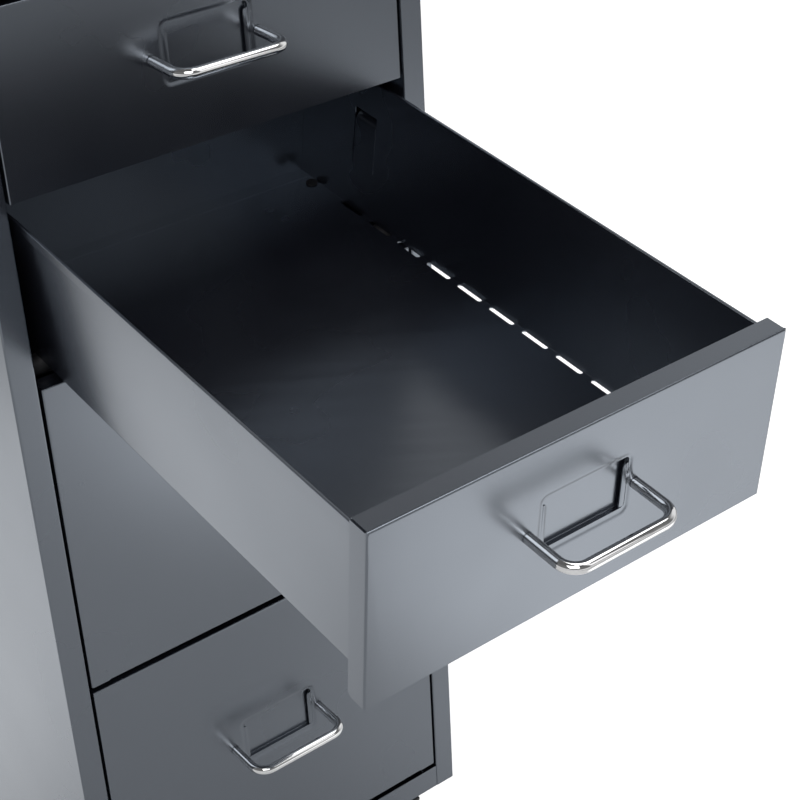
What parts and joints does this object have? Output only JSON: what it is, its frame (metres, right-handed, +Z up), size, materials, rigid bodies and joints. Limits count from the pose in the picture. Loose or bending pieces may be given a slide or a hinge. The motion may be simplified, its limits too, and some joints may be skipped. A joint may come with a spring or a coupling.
{
  "type": "metal drawer cabinet",
  "caption": "Narrow sheet-steel drawer cabinet on swivel castors, with folded trays on roller runners, wire pulls and one drawer standing open.",
  "frame": {"origin": "on the floor, under the middle of the carcass", "axes": "+X to the right seen from the front, +Y to the back, +Z up"},
  "size_m": [0.28, 0.7346, 0.716],
  "materials": {
    "anthracite_paint": "satin powder coat, fine orange peel",
    "runner_steel": "satin powder coat",
    "chrome_wire": "bright chrome plate",
    "zinc_screw": "zinc plate",
    "zinc_plate": "zinc plate",
    "black_nylon": "moulded nylon",
    "wheel_plastic": "moulded black plastic",
    "pedal_plastic": "moulded black plastic"
  },
  "bodies": {
    "cabinet": {"left_side_panel": "anthracite_paint", "right_side_panel": "anthracite_paint", "top_panel": "anthracite_paint", "bottom_panel": "anthracite_paint", "back_panel": "anthracite_paint", "back_screws": "zinc_screw", "runner_1_left": "runner_steel", "runner_1_right": "runner_steel", "runner_2_left": "runner_steel", "runner_2_right": "runner_steel", "runner_3_left": "runner_steel", "runner_3_right": "runner_steel", "runner_4_left": "runner_steel", "runner_4_right": "runner_steel", "castor_plates": "zinc_plate", "castor_screws": "zinc_screw"},
    "rollers_1": {"front_rollers_1": "black_nylon"},
    "drawer_1": {"drawer_1_front": "anthracite_paint", "drawer_1_tray": "anthracite_paint", "drawer_1_back": "anthracite_paint", "drawer_1_handle": "chrome_wire", "drawer_1_handle_screws": "zinc_screw", "drawer_1_glides": "black_nylon"},
    "rollers_2": {"front_rollers_2": "black_nylon"},
    "drawer_2": {"drawer_2_front": "anthracite_paint", "drawer_2_tray": "anthracite_paint", "drawer_2_back": "anthracite_paint", "drawer_2_handle": "chrome_wire", "drawer_2_handle_screws": "zinc_screw", "drawer_2_glides": "black_nylon"},
    "rollers_3": {"front_rollers_3": "black_nylon"},
    "drawer_3": {"drawer_3_front": "anthracite_paint", "drawer_3_tray": "anthracite_paint", "drawer_3_back": "anthracite_paint", "drawer_3_handle": "chrome_wire", "drawer_3_handle_screws": "zinc_screw", "drawer_3_glides": "black_nylon"},
    "rollers_4": {"front_rollers_4": "black_nylon"},
    "drawer_4": {"drawer_4_front": "anthracite_paint", "drawer_4_tray": "anthracite_paint", "drawer_4_back": "anthracite_paint", "drawer_4_handle": "chrome_wire", "drawer_4_handle_screws": "zinc_screw", "drawer_4_glides": "black_nylon"},
    "front_left_swivel": {"front_left_castor_fork": "zinc_plate", "front_left_castor_axle": "zinc_plate"},
    "front_left_wheel": {"front_left_castor_wheel": "wheel_plastic"},
    "front_left_brake": {"front_left_brake_pedal": "pedal_plastic"},
    "front_right_swivel": {"front_right_castor_fork": "zinc_plate", "front_right_castor_axle": "zinc_plate"},
    "front_right_wheel": {"front_right_castor_wheel": "wheel_plastic"},
    "front_right_brake": {"front_right_brake_pedal": "pedal_plastic"},
    "rear_left_swivel": {"rear_left_castor_fork": "zinc_plate", "rear_left_castor_axle": "zinc_plate"},
    "rear_left_wheel": {"rear_left_castor_wheel": "wheel_plastic"},
    "rear_right_swivel": {"rear_right_castor_fork": "zinc_plate", "rear_right_castor_axle": "zinc_plate"},
    "rear_right_wheel": {"rear_right_castor_wheel": "wheel_plastic"}
  },
  "joints": [
    {"name": "drawer_1_tilt", "type": "hinge", "parent": "cabinet", "child": "rollers_1", "pos_m": [0, -0.1852, 0.5922], "axis": [1, 0, 0], "range_deg": [0, 6.5]},
    {"name": "drawer_1_slide", "type": "slide", "parent": "rollers_1", "child": "drawer_1", "axis": [0, -1, 0], "range_m": [0, 0.287]},
    {"name": "drawer_2_tilt", "type": "hinge", "parent": "cabinet", "child": "rollers_2", "pos_m": [0, -0.1852, 0.4872], "axis": [1, 0, 0], "range_deg": [-6.5, 0]},
    {"name": "drawer_2_slide", "type": "slide", "parent": "rollers_2", "child": "drawer_2", "axis": [0, 0.9936, 0.1132], "range_m": [0, 0.287]},
    {"name": "drawer_3_tilt", "type": "hinge", "parent": "cabinet", "child": "rollers_3", "pos_m": [0, -0.1852, 0.2772], "axis": [1, 0, 0], "range_deg": [0, 6.5]},
    {"name": "drawer_3_slide", "type": "slide", "parent": "rollers_3", "child": "drawer_3", "axis": [0, -1, 0], "range_m": [0, 0.287]},
    {"name": "drawer_4_tilt", "type": "hinge", "parent": "cabinet", "child": "rollers_4", "pos_m": [0, -0.1852, 0.0672], "axis": [1, 0, 0], "range_deg": [0, 6.5]},
    {"name": "drawer_4_slide", "type": "slide", "parent": "rollers_4", "child": "drawer_4", "axis": [0, -1, 0], "range_m": [0, 0.287]},
    {"name": "front_left_castor_swivel", "type": "hinge", "parent": "cabinet", "child": "front_left_swivel", "pos_m": [-0.105, -0.153, 0.038], "axis": [0, 0, 1], "continuous": true},
    {"name": "front_left_wheel_roll", "type": "hinge", "parent": "front_left_swivel", "child": "front_left_wheel", "pos_m": [-0.105, -0.167, 0.016], "axis": [1, 0, 0], "continuous": true},
    {"name": "front_left_brake_press", "type": "hinge", "parent": "front_left_swivel", "child": "front_left_brake", "pos_m": [-0.105, -0.177, 0.033], "axis": [1, 0, 0], "range_deg": [0, 12]},
    {"name": "front_right_castor_swivel", "type": "hinge", "parent": "cabinet", "child": "front_right_swivel", "pos_m": [0.105, -0.153, 0.038], "axis": [0, 0, 1], "continuous": true},
    {"name": "front_right_wheel_roll", "type": "hinge", "parent": "front_right_swivel", "child": "front_right_wheel", "pos_m": [0.105, -0.167, 0.016], "axis": [1, 0, 0], "continuous": true},
    {"name": "front_right_brake_press", "type": "hinge", "parent": "front_right_swivel", "child": "front_right_brake", "pos_m": [0.105, -0.177, 0.033], "axis": [1, 0, 0], "range_deg": [0, 12]},
    {"name": "rear_left_castor_swivel", "type": "hinge", "parent": "cabinet", "child": "rear_left_swivel", "pos_m": [-0.105, 0.157, 0.038], "axis": [0, 0, 1], "continuous": true},
    {"name": "rear_left_wheel_roll", "type": "hinge", "parent": "rear_left_swivel", "child": "rear_left_wheel", "pos_m": [-0.105, 0.143, 0.016], "axis": [1, 0, 0], "continuous": true},
    {"name": "rear_right_castor_swivel", "type": "hinge", "parent": "cabinet", "child": "rear_right_swivel", "pos_m": [0.105, 0.157, 0.038], "axis": [0, 0, 1], "continuous": true},
    {"name": "rear_right_wheel_roll", "type": "hinge", "parent": "rear_right_swivel", "child": "rear_right_wheel", "pos_m": [0.105, 0.143, 0.016], "axis": [1, 0, 0], "continuous": true}
  ],
  "couplings": [
    {"joint": "drawer_1_tilt", "follows": "drawer_1_slide", "rad_per_m": 0.39528},
    {"joint": "drawer_2_tilt", "follows": "drawer_2_slide", "rad_per_m": -0.39528},
    {"joint": "drawer_3_tilt", "follows": "drawer_3_slide", "rad_per_m": 0.39528},
    {"joint": "drawer_4_tilt", "follows": "drawer_4_slide", "rad_per_m": 0.39528}
  ]
}
